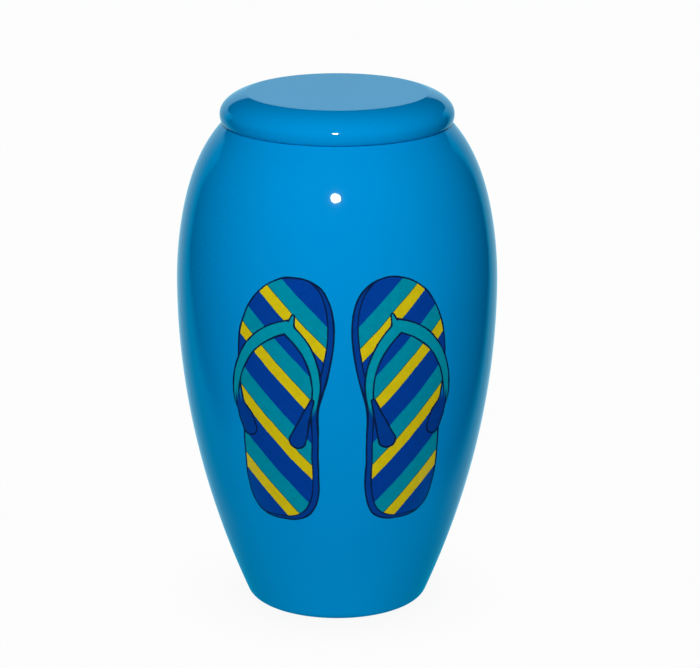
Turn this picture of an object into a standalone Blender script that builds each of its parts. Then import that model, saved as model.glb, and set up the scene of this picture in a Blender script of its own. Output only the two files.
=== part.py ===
"""A funeral urn: a hollow turned body with a full belly, and a round lid that plugs into its mouth.

The axis is Z, the foot stands on Z = 0, and the painted front of the urn faces -Y.
"""

import math

import bpy

MM = 0.001

# Body, outside
RIM_HEIGHT = 251.6 * MM
BELLY_HEIGHT = 168.0 * MM
BELLY_RADIUS = 81.8 * MM
BASE_RADIUS = 45.4 * MM  # where the wall would reach the ground without its rounded edge
BASE_EDGE_RADIUS = 6.0 * MM
MOUTH_RADIUS = 57.2 * MM  # where the shoulder would reach the rim without its rounded edge
RIM_EDGE_RADIUS = 1.2 * MM
SHOULDER_FULLNESS = 0.3  # 0 makes the shoulder a plain parabola, 1 keeps it full up to the rim

# Body, underside and inside
FOOT_RING_WIDTH = 8.0 * MM
FOOT_RECESS = 1.5 * MM
FOOT_RECESS_CHAMFER = 1.5 * MM
WALL = 4.0 * MM
FLOOR = 4.5 * MM
FLOOR_EDGE_RADIUS = 9.0 * MM
RIM_WIDTH = 5.5 * MM
BORE_CHAMFER = 0.8 * MM
BORE_LENGTH = 6.0 * MM
BORE_FLARE = 10.0 * MM  # height over which the bore opens out into the wall below it

# Lid
LID_HEIGHT = 14.8 * MM
LID_OVERHANG = 1.9 * MM  # how far the lid stands out past the body's mouth
LID_LIP_HEIGHT = 4.2 * MM  # height of the upright band under the lid's rounded side
LID_LIP_RADIUS = 0.9 * MM
LID_TOP_INSET = 13.4 * MM  # how far in from the side the flat top starts
LID_SIDE_WIDTH = 23.9 * MM  # half the width of the ellipse that rounds the side
LID_TOP_WALL = 4.0 * MM
LID_HOLLOW_RADIUS = 3.0 * MM  # of the corner under the top
SPIGOT_WALL = 3.5 * MM
SPIGOT_LENGTH = 8.0 * MM
SPIGOT_CHAMFER = 0.8 * MM
SPIGOT_CLEARANCE = 0.4 * MM
SEAT_GAP = 0.3 * MM

# Facets
TURN_STEPS = 60
WALL_STEPS = 8  # on each side of the belly
SHOULDER_CROWDING = 0.8  # under 1 draws the shoulder's rings closer together towards the rim
EDGE_STEPS = 4
FLARE_STEPS = 5
LID_SIDE_STEPS = 9
SLOPE_STEP = 0.05 * MM
MERGE_DISTANCE = 0.05 * MM

# Sizes and places that follow from those above
BORE_RADIUS = MOUTH_RADIUS - RIM_WIDTH
FLOOR_HEIGHT = FOOT_RECESS + FLOOR
SEAT_HEIGHT = RIM_HEIGHT + SEAT_GAP
LID_TOP = SEAT_HEIGHT + LID_HEIGHT
LID_RADIUS = MOUTH_RADIUS + LID_OVERHANG
SPIGOT_RADIUS = BORE_RADIUS - SPIGOT_CLEARANCE
SPIGOT_INSIDE = SPIGOT_RADIUS - SPIGOT_WALL
SPIGOT_FOOT = SEAT_HEIGHT - SPIGOT_LENGTH

LACQUER_BLUE = (0.002, 0.255, 0.610, 1.0)
LACQUER_ROUGHNESS = 0.08


def outer_radius(height):
    """The body's outside: a parabola below the belly, and a fuller curve from there up to the mouth."""
    if height <= BELLY_HEIGHT:
        share = (BELLY_HEIGHT - height) / BELLY_HEIGHT
        return BELLY_RADIUS - (BELLY_RADIUS - BASE_RADIUS) * share**2
    share = (height - BELLY_HEIGHT) / (RIM_HEIGHT - BELLY_HEIGHT)
    bend = (1 - SHOULDER_FULLNESS) * share**2 + SHOULDER_FULLNESS * share**6
    return BELLY_RADIUS - (BELLY_RADIUS - MOUTH_RADIUS) * bend


def slope(wall, height):
    """How fast a wall moves outwards as it rises."""
    return (wall(height + SLOPE_STEP) - wall(height - SLOPE_STEP)) / (2 * SLOPE_STEP)


def inner_radius(height):
    """The body's inside, a wall's thickness in from the outside, measured square to the wall."""
    return outer_radius(height) - WALL * math.hypot(1, slope(outer_radius, height))


def upright(radius):
    """A wall with the same radius at every height."""
    return lambda height: radius


def rounded_edge(wall, plane, radius, at_top):
    """The arc from a wall to the flat plane that ends it, above or below."""
    side = 1 if at_top else -1
    start = -math.atan(slope(wall, plane))
    end = side * math.pi / 2
    middle_height = plane - side * radius
    middle_radius = wall(middle_height + radius * math.sin(start)) - radius * math.cos(start)
    points = []
    for i in range(EDGE_STEPS + 1):
        angle = start + (end - start) * i / EDGE_STEPS
        points.append((middle_radius + radius * math.cos(angle), middle_height + radius * math.sin(angle)))
    return points


def wall_points(wall, low, high):
    """Points up a wall, strictly between two heights, with one at the belly."""
    below = [low + (BELLY_HEIGHT - low) * i / WALL_STEPS for i in range(1, WALL_STEPS)]
    above = []
    for i in range(1, WALL_STEPS):
        share = (i / WALL_STEPS) ** SHOULDER_CROWDING
        above.append(BELLY_HEIGHT + (high - BELLY_HEIGHT) * share)
    return [(wall(height), height) for height in below + [BELLY_HEIGHT] + above]


def flare_points(low, high):
    """The inside of the shoulder, easing from the wall at the low height to the bore at the high one."""
    points = []
    for i in range(FLARE_STEPS + 1):
        share = i / FLARE_STEPS
        height = low + (high - low) * share
        ease = share**2 * (3 - 2 * share)
        points.append((inner_radius(height) * (1 - ease) + BORE_RADIUS * ease, height))
    return points


def body_profile():
    """Up the inside from the middle of the floor, over the rim, and down the outside to the foot."""
    floor_edge = rounded_edge(inner_radius, FLOOR_HEIGHT, FLOOR_EDGE_RADIUS, at_top=False)
    bore_foot = RIM_HEIGHT - BORE_LENGTH
    flare = flare_points(bore_foot - BORE_FLARE, bore_foot)
    inside = [(0, FLOOR_HEIGHT)] + floor_edge[::-1]
    inside += wall_points(inner_radius, floor_edge[0][1], flare[0][1]) + flare
    inside += [(BORE_RADIUS, RIM_HEIGHT - BORE_CHAMFER), (BORE_RADIUS + BORE_CHAMFER, RIM_HEIGHT)]

    rim_edge = rounded_edge(outer_radius, RIM_HEIGHT, RIM_EDGE_RADIUS, at_top=True)
    base_edge = rounded_edge(outer_radius, 0, BASE_EDGE_RADIUS, at_top=False)
    outside = rim_edge[::-1]
    outside += wall_points(outer_radius, base_edge[0][1], rim_edge[0][1])[::-1]
    outside += base_edge

    ring_inside = base_edge[-1][0] - FOOT_RING_WIDTH
    foot = [(ring_inside, 0), (ring_inside - FOOT_RECESS_CHAMFER, FOOT_RECESS), (0, FOOT_RECESS)]
    return inside + outside + foot


def lid_side_points():
    """The lid's elliptical side, from its flat top down to its upright lip."""
    start = math.acos(1 - LID_TOP_INSET / LID_SIDE_WIDTH)
    rise = (LID_HEIGHT - LID_LIP_HEIGHT) / math.sin(start)
    points = []
    for i in range(LID_SIDE_STEPS + 1):
        angle = start * (1 - i / LID_SIDE_STEPS)
        radius = LID_RADIUS - LID_SIDE_WIDTH * (1 - math.cos(angle))
        points.append((radius, SEAT_HEIGHT + LID_LIP_HEIGHT + rise * math.sin(angle)))
    return points


def lid_profile():
    """Out across the top, down the side, in along the seat, and round the spigot into the hollow."""
    lip = rounded_edge(upright(LID_RADIUS), SEAT_HEIGHT, LID_LIP_RADIUS, at_top=False)
    spigot = [
        (SPIGOT_RADIUS, SEAT_HEIGHT),
        (SPIGOT_RADIUS, SPIGOT_FOOT + SPIGOT_CHAMFER),
        (SPIGOT_RADIUS - SPIGOT_CHAMFER, SPIGOT_FOOT),
        (SPIGOT_INSIDE + SPIGOT_CHAMFER, SPIGOT_FOOT),
        (SPIGOT_INSIDE, SPIGOT_FOOT + SPIGOT_CHAMFER),
    ]
    hollow = rounded_edge(upright(SPIGOT_INSIDE), LID_TOP - LID_TOP_WALL, LID_HOLLOW_RADIUS, at_top=True)
    return [(0, LID_TOP)] + lid_side_points() + lip + spigot + hollow + [(0, LID_TOP - LID_TOP_WALL)]


def lacquer(name):
    """Glossy blue lacquer."""
    material = bpy.data.materials.new(name)
    material.use_nodes = True
    shader = material.node_tree.nodes["Principled BSDF"]
    shader.inputs["Base Color"].default_value = LACQUER_BLUE
    shader.inputs["Roughness"].default_value = LACQUER_ROUGHNESS
    shader.inputs["Metallic"].default_value = 0.0
    material.diffuse_color = LACQUER_BLUE
    return material


def turned(name, profile, material, collection):
    """A solid of revolution about Z, from a profile at +X that runs down its outer side."""
    mesh = bpy.data.meshes.new(name)
    vertices = [(radius, 0, height) for radius, height in profile]
    edges = [(i, i + 1) for i in range(len(profile) - 1)]
    mesh.from_pydata(vertices, edges, [])
    mesh.materials.append(material)
    piece = bpy.data.objects.new(name, mesh)
    collection.objects.link(piece)

    screw = piece.modifiers.new("Turn", "SCREW")
    screw.steps = TURN_STEPS
    screw.render_steps = TURN_STEPS
    screw.use_merge_vertices = True
    screw.merge_threshold = MERGE_DISTANCE
    screw.use_smooth_shade = True
    piece.modifiers.new("Flat faces look flat", "WEIGHTED_NORMAL")
    return piece


def clear_scene():
    for piece in list(bpy.data.objects):
        bpy.data.objects.remove(piece, do_unlink=True)


def main():
    clear_scene()
    collection = bpy.data.collections.new("funeral_urn")
    bpy.context.scene.collection.children.link(collection)
    turned("urn_body", body_profile(), lacquer("body_lacquer"), collection)
    turned("lid", lid_profile(), lacquer("lid_lacquer"), collection)


main()
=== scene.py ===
"""A funeral urn in glossy sky-blue lacquer, with a pair of striped sandals painted on its front.

Lengths are metres, and millimetres in the shader maths. The urn stands on Z = 0 and its painted
front faces -Y. The CAD nodes give the outer sizes; each operator builds one piece over its node.
"""

import math

import bmesh
import bpy
from mathutils import Matrix, Vector


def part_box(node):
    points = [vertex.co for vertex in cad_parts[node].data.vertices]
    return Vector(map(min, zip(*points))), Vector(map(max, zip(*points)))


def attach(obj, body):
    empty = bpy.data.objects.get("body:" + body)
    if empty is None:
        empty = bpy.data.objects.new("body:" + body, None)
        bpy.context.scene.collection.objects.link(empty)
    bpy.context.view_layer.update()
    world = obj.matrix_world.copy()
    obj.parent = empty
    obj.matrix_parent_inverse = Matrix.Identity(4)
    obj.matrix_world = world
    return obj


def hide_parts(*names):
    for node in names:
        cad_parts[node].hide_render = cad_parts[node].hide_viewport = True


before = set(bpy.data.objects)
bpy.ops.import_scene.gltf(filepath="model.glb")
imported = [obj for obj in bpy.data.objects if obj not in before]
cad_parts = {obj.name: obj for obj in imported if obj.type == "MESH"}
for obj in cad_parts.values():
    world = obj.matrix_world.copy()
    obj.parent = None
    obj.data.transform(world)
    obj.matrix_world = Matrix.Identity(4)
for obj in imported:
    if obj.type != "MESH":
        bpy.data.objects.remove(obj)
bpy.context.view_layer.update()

bl_info = {
    "name": "Funeral urn",
    "version": (1, 0, 0),
    "blender": (4, 5, 0),
    "location": "View3D > Sidebar > Funeral urn",
    "description": "A lacquered urn with a painted front, its lid and a plain studio",
    "category": "Object",
}

MM = 0.001
BODY_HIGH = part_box("urn_body")[1]
LID_LOW, LID_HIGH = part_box("lid")


# Properties

def length(name, description, default):
    return bpy.props.FloatProperty(
        name=name, description=description, default=default, min=0, unit="LENGTH", subtype="DISTANCE"
    )


def share(name, description, default):
    return bpy.props.FloatProperty(
        name=name, description=description, default=default, min=0, max=1, subtype="FACTOR"
    )


def colour(name, description, default):
    return bpy.props.FloatVectorProperty(
        name=name, description=description, default=(*default, 1), size=4, min=0, max=1, subtype="COLOR"
    )


class UrnBodySizes(bpy.types.PropertyGroup):
    rim_height: length("Rim height", "Height of the flat rim that the lid rests on", BODY_HIGH[2])
    belly_height: length("Belly height", "Height of the widest ring", 168.0 * MM)
    belly_radius: length("Belly radius", "Radius of the widest ring", BODY_HIGH[0])
    base_radius: length("Base radius", "Where the wall would reach the ground unrounded", 45.4 * MM)
    base_edge: length("Base edge", "Radius of the rounded edge round the foot", 6.0 * MM)
    mouth_radius: length("Mouth radius", "Where the shoulder would reach the rim unrounded", 57.2 * MM)
    rim_edge: length("Rim edge", "Radius of the rim's outer edge", 1.2 * MM)
    fullness: share("Shoulder fullness", "0 is a plain parabola, 1 stays full up to the rim", 0.3)
    foot_ring: length("Foot ring", "Width of the ring that the urn stands on", 8.0 * MM)
    foot_recess: length("Foot recess", "Depth of the recess inside the foot ring", 1.5 * MM)
    wall: length("Wall", "Thickness of the moulded wall", 4.0 * MM)
    floor: length("Floor", "Thickness of the floor", 4.5 * MM)
    floor_edge: length("Floor edge", "Radius between the floor and the wall inside", 9.0 * MM)
    rim_width: length("Rim width", "Width of the rim", 5.5 * MM)
    bore_length: length("Bore length", "Height of the upright bore under the rim", 6.0 * MM)
    bore_flare: length("Bore flare", "Height over which the bore opens out below", 10.0 * MM)
    bore_edge: length("Bore edge", "Radius of the rim's inner edge", 0.8 * MM)


class UrnLidSizes(bpy.types.PropertyGroup):
    top_height: length("Top height", "Height of the lid's flat top", LID_HIGH[2])
    radius: length("Radius", "Radius of the lid's side", LID_HIGH[0])
    seat_gap: length("Seat gap", "Space left between the lid and the rim", 0.1 * MM)
    lip_height: length("Lip height", "Height of the widest ring above the seat", 4.2 * MM)
    lip_inset: length("Lip inset", "How far the side rounds in below its widest ring", 1.5 * MM)
    top_inset: length("Top inset", "How far in from the side the flat top starts", 13.4 * MM)
    top_edge: length("Top edge", "Radius that softens the edge of the flat top", 5.0 * MM)
    side_width: length("Side width", "Half the width of the ellipse that rounds the side", 23.9 * MM)
    top_wall: length("Top wall", "Thickness of the top", 4.0 * MM)
    hollow_edge: length("Hollow edge", "Radius of the corner under the top", 3.0 * MM)
    spigot_foot: length("Spigot foot", "Height of the lower end of the spigot", LID_LOW[2])
    spigot_wall: length("Spigot wall", "Thickness of the spigot", 3.5 * MM)
    spigot_clearance: length("Spigot clearance", "Space between the spigot and the bore", 0.4 * MM)
    spigot_edge: length("Spigot edge", "Radius of the spigot's lower edges", 0.8 * MM)


class SandalDesign(bpy.types.PropertyGroup):
    line: length("Line", "Half the width of the dark outlines", 0.46 * MM)
    wobble: length("Wobble", "How far the brush strays from the drawn shapes", 1.2 * MM)
    left_shift: length("Left shift", "How much further out the left sandal lies", 1.0 * MM)
    stripe_rise: length("Stripe rise", "Height from one yellow stripe up to the next", 34.6 * MM)
    stripe_start: length("Stripe start", "Height of a yellow stripe's lower edge at mid-sole", 64.8 * MM)
    stripe_slope: bpy.props.FloatProperty(
        name="Stripe slope", description="How steeply a stripe climbs outwards", default=1.03, min=0
    )
    yellow_width: length("Yellow width", "Height of a yellow stripe", 8.4 * MM)
    teal_width: length("Teal width", "Height of a teal stripe", 11.6 * MM)
    side_across: length("Side across", "How far the tread is shifted outwards on the sole", 3.0 * MM)
    side_up: length("Side up", "How far the tread is shifted upwards", 1.6 * MM)


class UrnColours(bpy.types.PropertyGroup):
    lacquer: colour("Lacquer", "Sky-blue lacquer of the body and lid", (0.0, 0.272, 0.66))
    royal: colour("Royal blue", "Blue stripes", (0.001, 0.045, 0.305))
    navy: colour("Navy", "Sides of the soles and ends of the straps", (0.001, 0.043, 0.27))
    teal: colour("Teal", "Teal stripes", (0.0, 0.25, 0.36))
    strap: colour("Strap", "Teal straps", (0.0, 0.275, 0.385))
    yellow: colour("Yellow", "Yellow stripes", (0.62, 0.50, 0.006))
    outline: colour("Outline", "Dark lines round the shapes", (0.003, 0.014, 0.058))
    stripe_line: colour("Stripe line", "Thin lines beside the yellow stripes", (0.012, 0.10, 0.07))
    laminate: colour("Laminate", "Bare glass-filled resin inside", (0.62, 0.60, 0.50))


# Turned shapes

TURN_STEPS = 192
EDGE_STEPS = 8
WALL_STEPS = 48
FLARE_STEPS = 10
SIDE_STEPS = 40
LIP_STEPS = 16
SUPPORT_REACH = 0.4 * MM  # how far a support ring lies from the edge it steadies
TOP_SUPPORT_REACH = 8 * SUPPORT_REACH
TOP_EDGE_ROOM = 1.3  # times as much of the lid's side for its softened edge as a straight side needs
SLOPE_STEP = 0.05 * MM
POLE_MERGE = 0.001 * MM
SHARP_EDGE = math.radians(35)
FRONT_ROOM = 3.0  # how strongly the baking map favours the front over the back
REST_ROOM = 0.97  # share of the map's lower part that is filled, which leaves a gap above it


def link(name, data):
    """Adds an object to the scene."""
    thing = bpy.data.objects.new(name, data)
    bpy.context.scene.collection.objects.link(thing)
    return thing


def slope(wall, height):
    """How fast a wall moves outwards as it rises."""
    return (wall(height + SLOPE_STEP) - wall(height - SLOPE_STEP)) / (2 * SLOPE_STEP)


def upright(radius):
    """A wall with the same radius at every height."""
    return lambda height: radius


def oval_arc(middle, half_width, half_height, start, end, steps=EDGE_STEPS):
    """Points round an ellipse, from one angle to another."""
    angles = [start + (end - start) * i / steps for i in range(steps + 1)]
    return [(middle[0] + half_width * math.cos(a), middle[1] + half_height * math.sin(a)) for a in angles]


def arc(middle, radius, start, end):
    return oval_arc(middle, radius, radius, start, end)


def rounded_edge(wall, plane, radius, at_top):
    """The arc from a wall to the flat plane that ends it, above or below."""
    side = 1 if at_top else -1
    start = -math.atan(slope(wall, plane))
    height = plane - side * radius
    middle = wall(height + radius * math.sin(start)) - radius * math.cos(start)
    return arc((middle, height), radius, start, side * math.pi / 2)


def wall_points(wall, low, high, steps):
    """Points up a wall, strictly between two heights."""
    heights = [low + (high - low) * i / steps for i in range(1, steps)]
    return [(wall(height), height) for height in heights]


def support(corner, beyond, reach):
    """A ring beside a rounded edge, so that the flat face past it keeps its own shading."""
    across, up = beyond[0] - corner[0], beyond[1] - corner[1]
    part = reach / math.hypot(across, up)
    return corner[0] + across * part, corner[1] + up * part


class TurnedMesh:
    """A closed solid of revolution whose profile is laid down in named stretches."""

    def __init__(self):
        self.bm = bmesh.new()
        self.along = self.bm.verts.layers.float.new("along")
        self.points = []
        self.stretches = {}

    def stretch(self, name, points):
        """Lays down the next points of the profile under a name."""
        self.stretches[name] = (len(self.points), len(self.points) + len(points))
        self.points += points

    def spin(self):
        """Spins the profile about Z, and notes on each vertex how far along the profile it is."""
        verts = []
        for i, (radius, height) in enumerate(self.points):
            vert = self.bm.verts.new((radius, 0, height))
            vert[self.along] = i
            verts.append(vert)
        edges = [self.bm.edges.new(pair) for pair in zip(verts, verts[1:])]
        bmesh.ops.spin(
            self.bm, geom=verts + edges, cent=(0, 0, 0), axis=(0, 0, 1), angle=2 * math.pi,
            steps=TURN_STEPS, use_merge=True, use_normal_flip=False, use_duplicate=False,
        )
        bmesh.ops.remove_doubles(self.bm, verts=self.bm.verts, dist=POLE_MERGE)
        bmesh.ops.recalc_face_normals(self.bm, faces=self.bm.faces)

    def inside(self, face, names):
        """Whether a face lies on one of the named stretches."""
        middle = sum(vert[self.along] for vert in face.verts) / len(face.verts)
        spans = [self.stretches[name] for name in names]
        return any(first < middle + 0.5 < last for first, last in spans)

    def lay_out(self, front, front_share):
        """Adds the map for baking: angle across, profile upwards, with most room for one stretch."""
        uv = self.bm.loops.layers.uv.new("OFBake")
        first, last = self.stretches[front]
        others = [name for name in self.stretches if name != front]
        rest = (1 - front_share) * REST_ROOM
        count = len(self.points)
        for face in self.bm.faces:
            middle = face.calc_center_median()
            turn = math.atan2(middle.x, -middle.y)
            in_front = not self.inside(face, others)
            for loop in face.loops:
                place = loop.vert.co
                around = math.atan2(place.x, -place.y) if place.xy.length > POLE_MERGE else turn
                around += 2 * math.pi * round((turn - around) / (2 * math.pi))
                across = 0.5 + 0.5 * math.atan(FRONT_ROOM * around / math.pi) / math.atan(FRONT_ROOM)
                step = loop.vert[self.along]
                if in_front and first <= step < last:
                    up = 1 - front_share * (step - first) / (last - first)
                elif step < first:
                    up = rest * step / count
                else:
                    up = rest * (step - (last - first)) / count
                loop[uv].uv = (across, up)

    def finish(self, name, materials, bare):
        """Makes the object, with the second material on the bare stretches."""
        for face in self.bm.faces:
            face.material_index = 1 if self.inside(face, bare) else 0
        mesh = bpy.data.meshes.new(name)
        self.bm.to_mesh(mesh)
        self.bm.free()
        mesh.shade_smooth()
        mesh.set_sharp_from_angle(angle=SHARP_EDGE)
        for material in materials:
            mesh.materials.append(material)
        return link(name, mesh)


def outer_wall(sizes):
    """The body's outside: a parabola below the belly, and a fuller curve from there up to the mouth."""
    def wall(height):
        if height <= sizes.belly_height:
            part = (sizes.belly_height - height) / sizes.belly_height
            return sizes.belly_radius - (sizes.belly_radius - sizes.base_radius) * part**2
        part = (height - sizes.belly_height) / (sizes.rim_height - sizes.belly_height)
        bend = (1 - sizes.fullness) * part**2 + sizes.fullness * part**6
        return sizes.belly_radius - (sizes.belly_radius - sizes.mouth_radius) * bend
    return wall


def inner_wall(sizes):
    """The body's inside, a wall's thickness in from the outside, measured square to the wall."""
    outside = outer_wall(sizes)
    return lambda height: outside(height) - sizes.wall * math.hypot(1, slope(outside, height))


def flare(wall, bore, low, high):
    """The inside of the shoulder, easing from the wall at the low height to the bore at the high one."""
    points = []
    for i in range(FLARE_STEPS + 1):
        part = i / FLARE_STEPS
        height = low + (high - low) * part
        ease = part**2 * (3 - 2 * part)
        points.append((wall(height) * (1 - ease) + bore * ease, height))
    return points


def turn_body(sizes):
    """Its profile goes up the inside from the middle of the floor, over the rim and down to the foot."""
    outside, inside = outer_wall(sizes), inner_wall(sizes)
    floor_height = sizes.foot_recess + sizes.floor
    bore = sizes.mouth_radius - sizes.rim_width
    floor_edge = rounded_edge(inside, floor_height, sizes.floor_edge, at_top=False)
    bore_foot = sizes.rim_height - sizes.bore_length
    shoulder = flare(inside, bore, bore_foot - sizes.bore_flare, bore_foot)
    edge = sizes.bore_edge
    bore_edge = arc((bore + edge, sizes.rim_height - edge), edge, math.pi, math.pi / 2)
    rim_edge = rounded_edge(outside, sizes.rim_height, sizes.rim_edge, at_top=True)
    base_edge = rounded_edge(outside, 0, sizes.base_edge, at_top=False)
    ring = base_edge[-1][0] - sizes.foot_ring
    recess = arc((ring, sizes.foot_recess), sizes.foot_recess, -math.pi / 2, -math.pi)

    body = TurnedMesh()
    body.stretch("inside", (
        [(0, floor_height), support(floor_edge[-1], (0, floor_height), SUPPORT_REACH)] + floor_edge[::-1]
        + wall_points(inside, floor_edge[0][1], shoulder[0][1], WALL_STEPS) + shoulder
    ))
    body.stretch("rim", bore_edge + rim_edge[::-1])
    body.stretch("outside", wall_points(outside, base_edge[0][1], rim_edge[0][1], 2 * WALL_STEPS)[::-1])
    body.stretch("foot", (
        base_edge + [support(base_edge[-1], (0, 0), SUPPORT_REACH)] + recess + [(0, sizes.foot_recess)]
    ))
    body.spin()
    body.lay_out("outside", front_share=0.8)
    return body


def turn_lid(sizes, body):
    """Its profile goes out across the top, down the side, in along the seat and round the spigot."""
    seat = body.rim_height + sizes.seat_gap
    lip_top = seat + sizes.lip_height
    start = math.acos(1 - sizes.top_inset / sizes.side_width)
    rise = (sizes.top_height - lip_top) / math.sin(start)
    middle = sizes.radius - sizes.side_width

    def side(a):
        return middle + sizes.side_width * math.cos(a), lip_top + rise * math.sin(a)

    flat = sizes.radius - sizes.top_inset
    tilt = math.atan2(rise * math.cos(start), sizes.side_width * math.sin(start))
    soft = sizes.top_edge
    reach = soft * math.tan(tilt / 2)
    top_edge = arc((flat - reach, sizes.top_height - soft), soft, math.pi / 2, math.pi / 2 - tilt)
    pace = math.hypot(sizes.side_width * math.sin(start), rise * math.cos(start))
    low_end = start - reach / pace * TOP_EDGE_ROOM
    curve = [side(low_end * (1 - i / SIDE_STEPS)) for i in range(SIDE_STEPS + 1)]
    lip_middle = (sizes.radius - sizes.lip_inset, lip_top)
    lip = oval_arc(lip_middle, sizes.lip_inset, sizes.lip_height, 0, -math.pi / 2, LIP_STEPS)[1:]
    spigot = body.mouth_radius - body.rim_width - sizes.spigot_clearance
    spigot_in = spigot - sizes.spigot_wall
    edge = sizes.spigot_edge
    roof = sizes.top_height - sizes.top_wall
    hollow = rounded_edge(upright(spigot_in), roof, sizes.hollow_edge, at_top=True)

    lid = TurnedMesh()
    lid.stretch("top", (
        [(0, sizes.top_height), (flat - reach - TOP_SUPPORT_REACH, sizes.top_height)] + top_edge + curve
    ))
    lid.stretch("lip", lip + [(spigot, seat)])
    lid.stretch("under", (
        [(spigot, seat - SUPPORT_REACH)]
        + arc((spigot - edge, sizes.spigot_foot + edge), edge, 0, -math.pi / 2)
        + arc((spigot_in + edge, sizes.spigot_foot + edge), edge, -math.pi / 2, -math.pi)
        + hollow + [support(hollow[-1], (0, roof), SUPPORT_REACH), (0, roof)]
    ))
    lid.spin()
    lid.lay_out("top", front_share=0.6)
    return lid


# Shader maths

BLACK = (0, 0, 0, 1)
EDGE_SOFTNESS = 0.16  # width in millimetres over which a painted edge fades


class Value:
    """A number on a socket: Python's operators on it add Math nodes."""

    def __init__(self, finish, socket):
        self.finish, self.socket = finish, socket

    def math(self, operation, *others, clamp=False):
        settings = {"operation": operation, "use_clamp": clamp}
        return self.finish.node("ShaderNodeMath", settings, dict(enumerate((self, *others))))

    def __add__(self, other):
        return self.math("ADD", other)

    def __sub__(self, other):
        return self.math("SUBTRACT", other)

    def __rsub__(self, other):
        return self.math("MULTIPLY_ADD", -1.0, other)

    def __mul__(self, other):
        return self.math("MULTIPLY", other)

    def __truediv__(self, other):
        return self.math("DIVIDE", other)

    def __mod__(self, other):
        return self.math("FLOORED_MODULO", other)

    def __pow__(self, other):
        return self.math("POWER", other)

    def __neg__(self):
        return self * -1.0

    def __abs__(self):
        return self.math("ABSOLUTE")

    __radd__, __rmul__ = __add__, __mul__

    def lowest(self, other):
        return self.math("MINIMUM", other)

    def highest(self, other):
        return self.math("MAXIMUM", other)

    def blend_low(self, other, reach):
        """The lower of two values, with a smooth valley where they cross."""
        return self.math("SMOOTH_MIN", other, reach)

    def clamped(self):
        return self.math("ADD", 0.0, clamp=True)

    def filled(self):
        """1 where a signed distance is below 0, with a soft edge."""
        return self.math("MULTIPLY_ADD", -1.0 / EDGE_SOFTNESS, 0.5, clamp=True)

    def band(self, half_width):
        """1 within half a width of the zero line."""
        return (abs(self) - half_width).filled()


class Finish:
    """A material on Principled BSDF, with one method that adds any node."""

    def __init__(self, name):
        self.material = bpy.data.materials.new(name)
        self.material.use_nodes = True
        self.tree = self.material.node_tree
        self.shader = self.tree.nodes["Principled BSDF"]

    def node(self, kind, settings, inputs, output=0):
        """Adds a node: its settings are made first, then the values or links of its sockets."""
        made = self.tree.nodes.new(kind)
        for key, setting in settings.items():
            setattr(made, key, setting)
        for key, value in inputs.items():
            self.feed(made.inputs[key], value)
        return Value(self, made.outputs[output])

    def feed(self, socket, value):
        if isinstance(value, Value):
            self.tree.links.new(value.socket, socket)
        else:
            socket.default_value = value

    def set(self, **sockets):
        """Feeds the shader's sockets, named with underscores for spaces."""
        for name, value in sockets.items():
            self.feed(self.shader.inputs[name.replace("_", " ")], value)

    def place(self):
        """The point on the piece, as three values in millimetres."""
        coordinates = self.node("ShaderNodeTexCoord", {}, {}, output="Object")
        scaling = {"Vector": coordinates, "Scale": 1 / MM}
        scaled = self.node("ShaderNodeVectorMath", {"operation": "SCALE"}, scaling)
        return [self.node("ShaderNodeSeparateXYZ", {}, {"Vector": scaled}, output=axis) for axis in "XYZ"]

    def noise(self, size, detail, seed, roughness=0.5, output="Fac"):
        """Noise whose lumps are about as large as the size, in millimetres."""
        coordinates = self.node("ShaderNodeTexCoord", {}, {}, output="Object")
        moved = self.node("ShaderNodeVectorMath", {"operation": "ADD"}, {0: coordinates, 1: (seed,) * 3})
        inputs = {"Vector": moved, "Scale": 1 / (size * MM), "Detail": detail, "Roughness": roughness}
        return self.node("ShaderNodeTexNoise", {}, inputs, output=output)

    def hypot(self, x, y):
        """The length of a step with these two sides."""
        joined = self.node("ShaderNodeCombineXYZ", {}, {"X": x, "Y": y})
        return self.node("ShaderNodeVectorMath", {"operation": "LENGTH"}, {0: joined}, output="Value")

    def mix(self, factor, first, second, blend="MIX"):
        settings = {"data_type": "RGBA", "blend_type": blend}
        return self.node("ShaderNodeMix", settings, {0: factor, 6: first, 7: second}, output=2)

    def smooth(self, value, low, high):
        """0 up to the low end and 1 past the high one, eased between."""
        inputs = {"Value": value, "From Min": low, "From Max": high}
        return self.node("ShaderNodeMapRange", {"interpolation_type": "SMOOTHSTEP"}, inputs)

    def glow(self, colour):
        """Makes the surface shine in this colour alone."""
        self.set(Base_Color=BLACK, Specular_IOR_Level=0.0)
        self.set(Emission_Color=colour, Emission_Strength=1.0)

    def bump(self, height, depth):
        """A normal that rises and falls with a height from 0 to 1, over a depth in metres."""
        inputs = {"Height": height, "Distance": depth, "Strength": 1.0}
        return self.node("ShaderNodeBump", {}, inputs, output="Normal")


# Painted design, in millimetres: x outwards from the middle of the front, y up from the ground

class Oval:
    """A squarish ellipse."""

    def __init__(self, x, y, half_width, half_height, squareness):
        self.x, self.y = x, y
        self.half_width, self.half_height, self.squareness = half_width, half_height, squareness

    def distance(self, finish, x, y):
        """Signed distance to the edge, true near it: the shape's own level over how fast it rises."""
        power = self.squareness
        across = abs(x - self.x) / self.half_width
        up = abs(y - self.y) / self.half_height
        level = (across**power + up**power) ** (1 / power)
        rise = finish.hypot(across ** (power - 1) / self.half_width, up ** (power - 1) / self.half_height)
        return (level - 1) * level ** (power - 1) / rise


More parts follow.
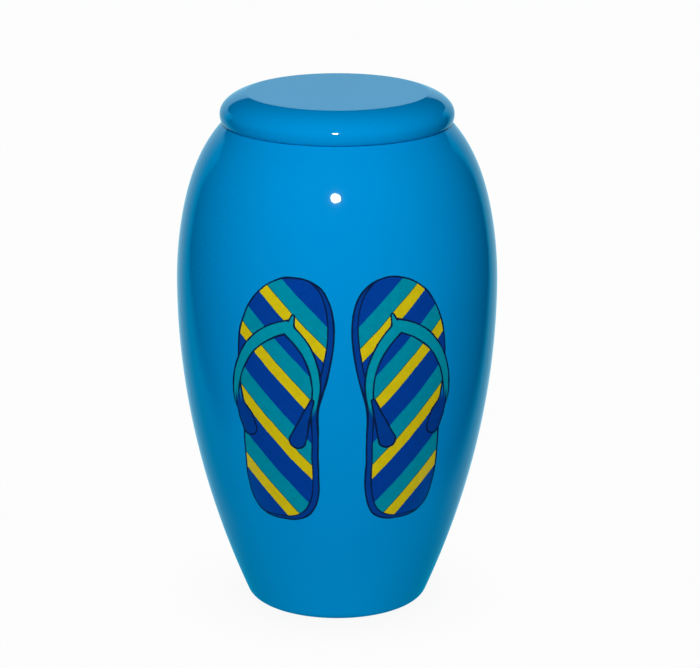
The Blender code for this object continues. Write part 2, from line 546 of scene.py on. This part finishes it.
class Ring:
    """The circle through three points."""

    def __init__(self, first, second, third):
        (ax, ay), (bx, by), (cx, cy) = first, second, third
        a, b, c = ax**2 + ay**2, bx**2 + by**2, cx**2 + cy**2
        twice = 2 * (ax * (by - cy) + bx * (cy - ay) + cx * (ay - by))
        self.x = (a * (by - cy) + b * (cy - ay) + c * (ay - by)) / twice
        self.y = (a * (cx - bx) + b * (ax - cx) + c * (bx - ax)) / twice
        self.radius = math.hypot(ax - self.x, ay - self.y)

    def distance(self, finish, x, y):
        return finish.hypot(x - self.x, y - self.y) - self.radius


class Drop:
    """A bar from one circle to another, each given as x, y and radius."""

    def __init__(self, start, end):
        self.start, self.end = start, end

    def distance(self, finish, x, y):
        across, up, growth = (end - start for start, end in zip(self.start, self.end))
        square = across**2 + up**2
        x, y = x - self.start[0], y - self.start[1]
        part = (x * (across / square) + y * (up / square)).clamped()
        reach = finish.hypot(x - part * across, y - part * up)
        return reach - part * growth - self.start[2]


def chain(*circles):
    """Bars from each circle to the next."""
    return [Drop(*pair) for pair in zip(circles, circles[1:])]


def nearest(finish, x, y, parts):
    """Signed distance to the nearest of some shapes."""
    distance = parts[0].distance(finish, x, y)
    for part in parts[1:]:
        distance = distance.lowest(part.distance(finish, x, y))
    return distance


BALL = Oval(32.1, 155.4, 24.9, 35.7, 2.2)
HEEL = Oval(31.5, 93.8, 19.8, 32.1, 2.9)
WAIST_BLEND = 33.0
SOLE_BEND = 0.0013  # how fast the middle line curves inwards above and below the waist
WAIST_HEIGHT = 110.0
STRIPE_MIDDLE = 28.0  # how far out the sole's middle lies, where the stripes' heights are measured
STRIPE_LINE = 0.3  # half the width of the thin lines beside the yellow stripes
TREAD_LINE = 0.75  # width of the line round the tread, as a share of the other outlines'
STRAP_FORK = (28.5, 162.7)
STRAP_END = (119.0, 127.0)  # the straps darken into their anchors between these heights
ANCHOR_TOP = (123.0, 131.0)  # and the outer anchors fade in between these
ANCHOR_SPLIT = (30.0, 40.0)  # between the inner anchor and the outer one
STRAP_OUTSIDE = (
    Ring((24.6, 170.2), (48.7, 157.0), (58.0, 131.0)),
    Ring((23.9, 167.0), (15.1, 155.3), (10.5, 137.0)),
)
STRAP_INSIDE = (
    Ring(STRAP_FORK, (44.6, 152.6), (54.2, 131.0)),
    Ring(STRAP_FORK, (17.6, 148.0), (14.6, 131.0)),
)
TOE_POST = chain((25.5, 167.2, 1.9), (24.1, 172.1, 0.8))
ANCHORS = (
    chain((14.6, 128.5, 0.9), (22.0, 107.2, 4.3))
    + chain((55.2, 131.5, 1.2), (53.4, 122.6, 2.7), (50.6, 117.1, 4.1), (48.0, 110.6, 3.9))
)
JOIN_BLEND = 1.6  # between the straps and the post
WOBBLE_SIZE = 16.0
LINE_SIZE = 9.0  # length over which a painted line swells and thins
BRUSH_SIZE = 3.0
BRUSH_DEPTH = 0.18  # share of the paint's brightness that the brush marks change


def sole_distance(finish, x, y):
    """Ovals for the ball of the foot and the heel, blended at the waist, on a bent middle line."""
    x = x + (y - WAIST_HEIGHT) ** 2 * SOLE_BEND
    return BALL.distance(finish, x, y).blend_low(HEEL.distance(finish, x, y), WAIST_BLEND)


def strap_distance(finish, x, y):
    """A pointed arch less a smaller one, with the post between the toes on its tip."""
    def arch(outer, inner):
        return outer.distance(finish, x, y).highest(inner.distance(finish, x, y))

    outside, inside = arch(*STRAP_OUTSIDE), arch(*STRAP_INSIDE)
    return outside.highest(-inside).blend_low(nearest(finish, x, y, TOE_POST), JOIN_BLEND)


def paint_sandals(finish, ground, design, colours):
    """Lays the pair of sandals over a ground colour, one the mirror image of the other."""
    east, north, up = finish.place()
    radius = finish.hypot(east, north)
    around = east.math("ARCTAN2", -north)
    stray = finish.noise(WOBBLE_SIZE, detail=1.0, seed=3.0, output="Color")
    stray_across = finish.node("ShaderNodeSeparateColor", {}, {"Color": stray}, output="Red")
    stray_up = finish.noise(WOBBLE_SIZE, detail=1.0, seed=8.0)
    wobble = design.wobble / MM
    across = around * radius + (stray_across - 0.5) * wobble
    x = abs(across) - across.math("LESS_THAN", 0.0) * (design.left_shift / MM)
    y = up + (stray_up - 0.5) * wobble
    line = (finish.noise(LINE_SIZE, detail=1.0, seed=5.0) + 0.5) * (design.line / MM)

    sole = sole_distance(finish, x, y)
    tread = sole.highest(sole_distance(finish, x - design.side_across / MM, y - design.side_up / MM))
    climb = (x - STRIPE_MIDDLE) * design.stripe_slope
    stripe = (y - climb - design.stripe_start / MM) % (design.stripe_rise / MM)
    yellow, teal = design.yellow_width / MM, design.teal_width / MM
    on_tread = tread.filled()
    off_yellow = stripe - yellow / 2

    painted = finish.mix(sole.filled(), ground, colours.navy)
    painted = finish.mix(on_tread, painted, colours.royal)
    painted = finish.mix((stripe - yellow - teal / 2).band(teal / 2) * on_tread, painted, colours.teal)
    painted = finish.mix(off_yellow.band(yellow / 2) * on_tread, painted, colours.yellow)
    beside_yellow = (abs(off_yellow) - yellow / 2).band(STRIPE_LINE)
    painted = finish.mix(beside_yellow * on_tread, painted, colours.stripe_line)
    painted = finish.mix((abs(tread) - line * TREAD_LINE).filled(), painted, colours.outline)
    painted = finish.mix((abs(sole) - line).filled(), painted, colours.outline)
    strap = strap_distance(finish, x, y)
    above = finish.smooth(y, *STRAP_END)
    painted = finish.mix(strap.filled() * above, painted, colours.strap)
    painted = finish.mix((abs(strap) - line).filled() * above, painted, colours.outline)
    anchors = nearest(finish, x, y, ANCHORS)
    below = 1.0 - finish.smooth(y, *ANCHOR_TOP) * finish.smooth(x, *ANCHOR_SPLIT)
    painted = finish.mix(anchors.filled() * below, painted, colours.navy)
    painted = finish.mix((abs(anchors) - line).filled() * below, painted, colours.outline)
    brush = finish.noise(BRUSH_SIZE, detail=3.0, roughness=0.6, seed=1.0) * 2.0
    painted = finish.mix(sole.filled() * BRUSH_DEPTH, painted, brush, blend="MULTIPLY")
    return finish.mix(north.math("LESS_THAN", 0.0), ground, painted)


# Finishes: sizes of their marks in millimetres, depths of their relief in metres

DRIFT_SIZE, DRIFT_DARKEST = 60.0, 0.94
HAZE_SIZE, HAZE_ROUGHNESS = 25.0, 0.04
GLOSS_ROUGHNESS = 0.02
LACQUER_IOR = 1.5
PEEL_SIZE, PEEL_DEPTH = 1.6, 0.004 * MM
STRAND_SIZE, STRAND_SHARE = 2.2, 0.6
STRAND_ROUGHNESS, STRAND_DEPTH = 0.2, 0.25 * MM
PATCH_SIZE, PATCH_SHARE = 30.0, 0.4
LAMINATE_DARKEST, LAMINATE_ROUGHNESS = 0.72, 0.5


def darkened(colour, part):
    """A colour at part of its brightness."""
    return tuple(channel * part for channel in colour[:3]) + (1.0,)


def lacquer(name, colours, design=None):
    """Glossy lacquer: even colour, a trace of orange peel and faint wiping marks in the gloss."""
    finish = Finish(name)
    drift = finish.noise(DRIFT_SIZE, detail=2.0, seed=2.0)
    ground = finish.mix(drift, darkened(colours.lacquer, DRIFT_DARKEST), colours.lacquer)
    if design is not None:
        ground = paint_sandals(finish, ground, design, colours)
    haze = finish.noise(HAZE_SIZE, detail=4.0, roughness=0.6, seed=6.0)
    peel = finish.noise(PEEL_SIZE, detail=1.0, seed=4.0)
    finish.set(
        Base_Color=ground,
        Roughness=haze * HAZE_ROUGHNESS + GLOSS_ROUGHNESS,
        IOR=LACQUER_IOR,
        Normal=finish.bump(peel, PEEL_DEPTH),
    )
    return finish.material


def laminate(name, colours):
    """Bare glass-filled resin: a dull, fibrous inside."""
    finish = Finish(name)
    strands = finish.noise(STRAND_SIZE, detail=6.0, roughness=0.75, seed=7.0)
    patches = finish.noise(PATCH_SIZE, detail=3.0, seed=9.0)
    cloudy = (strands * STRAND_SHARE + patches * PATCH_SHARE).clamped()
    finish.set(
        Base_Color=finish.mix(cloudy, darkened(colours.laminate, LAMINATE_DARKEST), colours.laminate),
        Roughness=strands * STRAND_ROUGHNESS + LAMINATE_ROUGHNESS,
        Normal=finish.bump(strands, STRAND_DEPTH),
    )
    return finish.material


class URN_OT_body(bpy.types.Operator):
    """Turns the hollow body and paints the sandals on its front"""
    bl_idname = "urn.body"
    bl_label = "Urn body"

    def execute(self, context):
        scene = context.scene
        materials = [
            lacquer("body_lacquer_finish", scene.urn_colours, scene.urn_sandals),
            laminate("body_inside_finish", scene.urn_colours),
        ]
        piece = turn_body(scene.urn_body).finish("body", materials, ["inside"])
        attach(piece, "root")
        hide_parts("urn_body")
        return {"FINISHED"}


class URN_OT_lid(bpy.types.Operator):
    """Turns the lid with the spigot that plugs the mouth"""
    bl_idname = "urn.lid"
    bl_label = "Lid"

    def execute(self, context):
        scene = context.scene
        materials = [
            lacquer("lid_lacquer_finish", scene.urn_colours),
            laminate("lid_inside_finish", scene.urn_colours),
        ]
        piece = turn_lid(scene.urn_lid, scene.urn_body).finish("lift_off_lid", materials, ["under"])
        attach(piece, "root")
        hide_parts("lid")
        return {"FINISHED"}


# Stage

VIEW_TURN = math.radians(-2.4)  # the camera stands this far round from straight in front
VIEW_PITCH = math.radians(16.75)
VIEW_DISTANCE = 1473.4 * MM  # along the ground, from the urn's axis
VIEW_AIM = 133.95 * MM  # height on the axis that the lens points at
IMAGE_WIDTH, IMAGE_HEIGHT = 700, 668
AIM_COLUMN, AIM_ROW = 337.1, 344.7  # where that point lies in the picture, in pixels
FOCAL_PIXELS = 2990
SENSOR_WIDTH = 36.0
LAMP_DISTANCE = 1.5  # from the point below
LAMP_AIM = 0.2  # height on the axis that the lamps point at

# The floor that the camera sees, a little darker right under the urn: a painted shadow
PALE, PAINTED_SHADOW_COLOUR = (0.974, 0.982, 0.974, 1), (0.925, 0.93, 0.93, 1)
PAINTED_SHADOW_SPAN = (25.0, 95.0)  # the shade fades between these distances from the axis, in millimetres
FLOOR_OUTLINE, FLOOR_WIDTH = [(-8, 0), (8, 0)], 16

# The floor that lights the urn from below, and fades in millimetres from a point before the urn
NEAR_BOUNCE, FAR_BOUNCE = (0.46, 0.46, 0.46, 1), (0.09, 0.09, 0.09, 1)
BOUNCE_FADE = (100.0, 500.0)
BOUNCE_FORWARD = 110.0
BOUNCE_OUTLINE, BOUNCE_WIDTH = [(-3, -1 * MM), (3, -1 * MM)], 6

# The paper's glow is a painted reflection: its tint, fades and shade stand in for the studio seen in the
# gloss
# The paper in the gloss: its sheet in metres, and its pattern in millimetres. An inner or outer edge
# is where it starts and how much it spreads with the depth behind the urn.
BACKDROP_OUTLINE, BACKDROP_WIDTH = [(-0.12, 0), (0.8, 0), (0.8, 0.72)], 2.8
PAPER_MIDDLE = -42.0
EDGE_INNER, EDGE_OUTER = (150.0, 0.75), (250.0, 0.88)
EDGE_RISE = 250.0  # above this height the edges lean outwards
EDGE_LEAN = 0.6
PAPER_TOP = (515.0, 570.0)
TOP_DIP, TOP_DIP_REACH = 50.0, (150.0, 400.0)  # the top edge sinks, and further out rises again
TOP_LIFT, TOP_LIFT_REACH = 120.0, (480.0, 800.0)
PAPER_FRONT = (40.0, 110.0)  # it fades out between these distances before the axis
# painted shade: the reflected paper is dark before the urn
PAPER_SHADE = (-400.0, 200.0)  # and brightens up to the second of these behind it

# Its tint, a painted reflection colour: pale in a strip down the middle, and deeper beside the strip and
# before the urn
SHEEN, DEEP_SHEEN = (0.34, 0.74, 0.98, 1), (0.0, 0.55, 0.88, 1)
SHEEN_MIDDLE = 20.0
SHEEN_INNER, SHEEN_OUTER = (0.0, 0.4), (150.0, 0.9)
SHEEN_NEAR = (-150.0, 20.0)


def round_axis(x, y, z):
    """A point of the studio, turned with the camera."""
    return Matrix.Rotation(VIEW_TURN, 4, "Z") @ Vector((x, y, z))


def aim(thing, place, target):
    thing.location = place
    thing.rotation_euler = (target - place).to_track_quat("-Z", "Y").to_euler()


def hide_from(thing, *rays):
    for ray in rays:
        setattr(thing, "visible_" + ray, False)


def add_camera():
    data = bpy.data.cameras.new("camera")
    data.sensor_width = SENSOR_WIDTH
    data.lens = SENSOR_WIDTH * FOCAL_PIXELS / IMAGE_WIDTH
    data.shift_x = (IMAGE_WIDTH / 2 - AIM_COLUMN) / IMAGE_WIDTH
    data.shift_y = (AIM_ROW - IMAGE_HEIGHT / 2) / IMAGE_WIDTH
    camera = link("camera", data)
    height = VIEW_AIM + VIEW_DISTANCE * math.tan(VIEW_PITCH)
    aim(camera, round_axis(0, -VIEW_DISTANCE, height), Vector((0, 0, VIEW_AIM)))
    bpy.context.scene.camera = camera


def add_lamp(name, bearing, elevation, size, watts, in_gloss=False):
    """A soft lamp at a bearing from the camera's side of the urn, in degrees."""
    data = bpy.data.lights.new(name, "AREA")
    data.shape = "ELLIPSE"
    data.size, data.size_y = size
    data.energy = watts
    lamp = link(name, data)
    turn, lift = math.radians(bearing), math.radians(elevation)
    target = Vector((0, 0, LAMP_AIM))
    offset = round_axis(math.sin(turn) * math.cos(lift), -math.cos(turn) * math.cos(lift), math.sin(lift))
    aim(lamp, target + offset * LAMP_DISTANCE, target)
    hide_from(lamp, "camera")
    if not in_gloss:
        hide_from(lamp, "glossy")


def sheet(name, outline, width, finish):
    """A sheet of the studio: an outline in the Y-Z plane, extruded across and turned with the camera."""
    bm = bmesh.new()
    verts = [bm.verts.new((-width / 2, y, z)) for y, z in outline]
    edges = [bm.edges.new(pair) for pair in zip(verts, verts[1:])]
    made = bmesh.ops.extrude_edge_only(bm, edges=edges)["geom"]
    moved = [item for item in made if isinstance(item, bmesh.types.BMVert)]
    bmesh.ops.translate(bm, verts=moved, vec=(width, 0, 0))
    bmesh.ops.transform(bm, matrix=Matrix.Rotation(VIEW_TURN, 4, "Z"), verts=bm.verts)
    mesh = bpy.data.meshes.new(name)
    bm.to_mesh(mesh)
    bm.free()
    mesh.materials.append(finish.material)
    thing = link(name, mesh)
    return thing


def pale_floor():
    """The floor as the camera sees it, glowing evenly but for a painted shadow round the urn's foot."""
    pale = Finish("pale_floor")
    east, north = pale.place()[:2]
    # painted shadow: the floor's glow darkens towards the urn's foot
    beyond_painted_shadow = pale.smooth(pale.hypot(east, north), *PAINTED_SHADOW_SPAN)
    pale.glow(pale.mix(beyond_painted_shadow, PAINTED_SHADOW_COLOUR, PALE))
    return pale


def lit_paper():
    """The floor as it lights the urn, brightest before it."""
    paper = Finish("lit_paper")
    east, north = paper.place()[:2]
    far = paper.smooth(paper.hypot(east, north + BOUNCE_FORWARD), *BOUNCE_FADE)
    paper.glow(paper.mix(far, NEAR_BOUNCE, FAR_BOUNCE))
    return paper


def reflected_paper():
    """White paper as the gloss shows it, glowing as a painted reflection: it widens behind the urn and
    bends up into a backdrop.
    """
    paper = Finish("reflected_paper")
    across, back, up = paper.place()
    depth = back.highest(0.0)

    def beyond(off_middle, inner, outer):
        """0 inside the inner edge and 1 outside the outer one."""
        return paper.smooth(off_middle, *(depth * spread + start for start, spread in (inner, outer)))

    off_middle = abs(across - PAPER_MIDDLE)
    side = beyond(off_middle - (up - EDGE_RISE).highest(0.0) * EDGE_LEAN, EDGE_INNER, EDGE_OUTER)
    dip = paper.smooth(off_middle, *TOP_DIP_REACH) * TOP_DIP
    lift = paper.smooth(off_middle, *TOP_LIFT_REACH) * TOP_LIFT
    top = paper.smooth(up + dip - lift, *PAPER_TOP)
    front = paper.smooth(-back, *PAPER_FRONT)
    deep = beyond(abs(across - SHEEN_MIDDLE), SHEEN_INNER, SHEEN_OUTER)
    deep = deep.highest(paper.smooth(-back, *SHEEN_NEAR))
    # painted reflection, dimmed by painted shade before the urn and black outside its edges
    lit = paper.mix(paper.smooth(back, *PAPER_SHADE), BLACK, paper.mix(deep, SHEEN, DEEP_SHEEN))
    paper.glow(paper.mix(side.highest(top).highest(front), lit, BLACK))
    return paper


class URN_OT_stage(bpy.types.Operator):
    """Sets the camera, the lamps, the pale floor and the paper that shows in the gloss"""
    bl_idname = "urn.stage"
    bl_label = "Camera, light and floor"

    def execute(self, context):
        add_camera()
        add_lamp("key_lamp", bearing=-1.2, elevation=30.5, size=(0.155, 0.115), watts=21.8, in_gloss=True)
        add_lamp("top_back_lamp", bearing=180, elevation=60, size=(0.5, 0.5), watts=1.0)
        add_lamp("left_lamp", bearing=-90, elevation=10, size=(0.6, 0.6), watts=1.3)
        add_lamp("back_lamp", bearing=180, elevation=8, size=(0.8, 0.8), watts=11.0)

        floor = sheet("floor", FLOOR_OUTLINE, FLOOR_WIDTH, pale_floor())
        hide_from(floor, "diffuse", "glossy", "shadow")
        bounce = sheet("lit_floor", BOUNCE_OUTLINE, BOUNCE_WIDTH, lit_paper())
        hide_from(bounce, "camera", "glossy", "shadow")
        # the backdrop glows only for glossy rays, a painted reflection
        backdrop = sheet("backdrop", BACKDROP_OUTLINE, BACKDROP_WIDTH, reflected_paper())
        hide_from(backdrop, "camera", "diffuse", "shadow")

        world = bpy.data.worlds.new("studio")
        context.scene.world = world
        world.use_nodes = True
        world.node_tree.nodes["Background"].inputs["Color"].default_value = PALE
        world.cycles_visibility.diffuse = False
        world.cycles_visibility.glossy = False
        context.scene.view_settings.view_transform = "Standard"
        return {"FINISHED"}


class URN_PT_panel(bpy.types.Panel):
    """Sizes, colours and pieces of the urn"""
    bl_idname = "URN_PT_panel"
    bl_label = "Funeral urn"
    bl_space_type = "VIEW_3D"
    bl_region_type = "UI"
    bl_category = "Funeral urn"

    def draw(self, context):
        for operator in OPERATORS:
            self.layout.operator(operator.bl_idname)
        for name, group in GROUPS.items():
            box = self.layout.box()
            for prop in group.__annotations__:
                box.prop(getattr(context.scene, name), prop)


GROUPS = {
    "urn_body": UrnBodySizes,
    "urn_lid": UrnLidSizes,
    "urn_sandals": SandalDesign,
    "urn_colours": UrnColours,
}
OPERATORS = (URN_OT_body, URN_OT_lid, URN_OT_stage)


def register():
    for name, group in GROUPS.items():
        bpy.utils.register_class(group)
        setattr(bpy.types.Scene, name, bpy.props.PointerProperty(type=group))
    for operator in OPERATORS:
        bpy.utils.register_class(operator)
    bpy.utils.register_class(URN_PT_panel)


def unregister():
    bpy.utils.unregister_class(URN_PT_panel)
    for operator in reversed(OPERATORS):
        bpy.utils.unregister_class(operator)
    for name, group in reversed(list(GROUPS.items())):
        delattr(bpy.types.Scene, name)
        bpy.utils.unregister_class(group)


def main():
    register()
    bpy.ops.urn.body()
    bpy.ops.urn.lid()
    bpy.ops.urn.stage()


if __name__ == "__main__":
    main()
